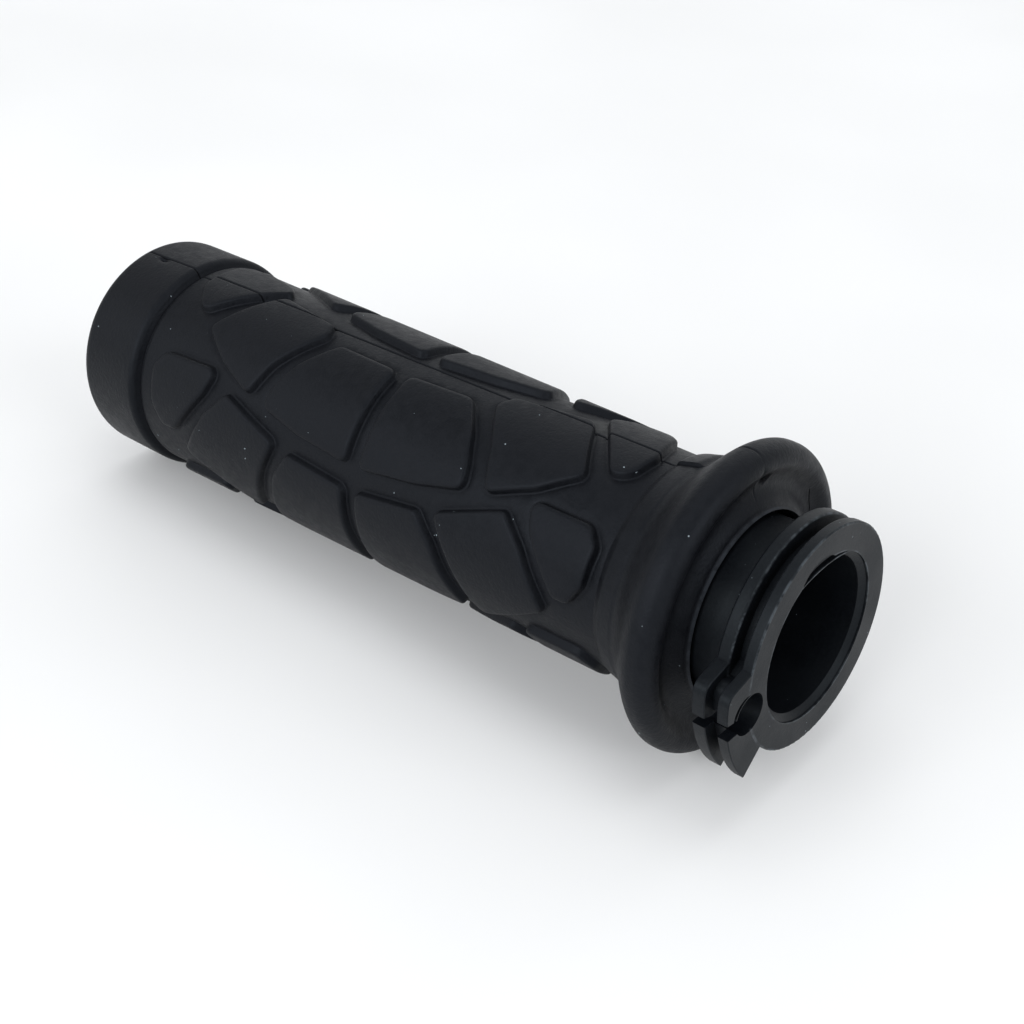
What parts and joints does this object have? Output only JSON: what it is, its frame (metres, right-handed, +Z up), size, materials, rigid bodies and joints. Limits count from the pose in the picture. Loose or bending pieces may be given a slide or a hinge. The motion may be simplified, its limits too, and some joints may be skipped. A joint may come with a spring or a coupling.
{
  "type": "throttle grip",
  "caption": "Rubber twist grip with raised tread pads, end collar and bell flange, moulded on a plastic throttle tube with a cable drum.",
  "frame": {"origin": "on the handlebar's axis, at the inboard end of the throttle tube's running bore, at the bottom of the cone in the drum's mouth", "axes": "+X is the way the handlebar leaves the grip, towards the middle of the vehicle; +Z is up as the grip lies, with the rubber's parting line on top; -Y is the side of the cable lobe"},
  "size_m": [0.1327, 0.045, 0.045],
  "materials": {
    "rubber": "satin black moulded rubber",
    "tube_plastic": "semi-matt black moulded plastic"
  },
  "bodies": {
    "root": {"grip_sleeve": "rubber", "throttle_tube": "tube_plastic"}
  },
  "joints": []
}
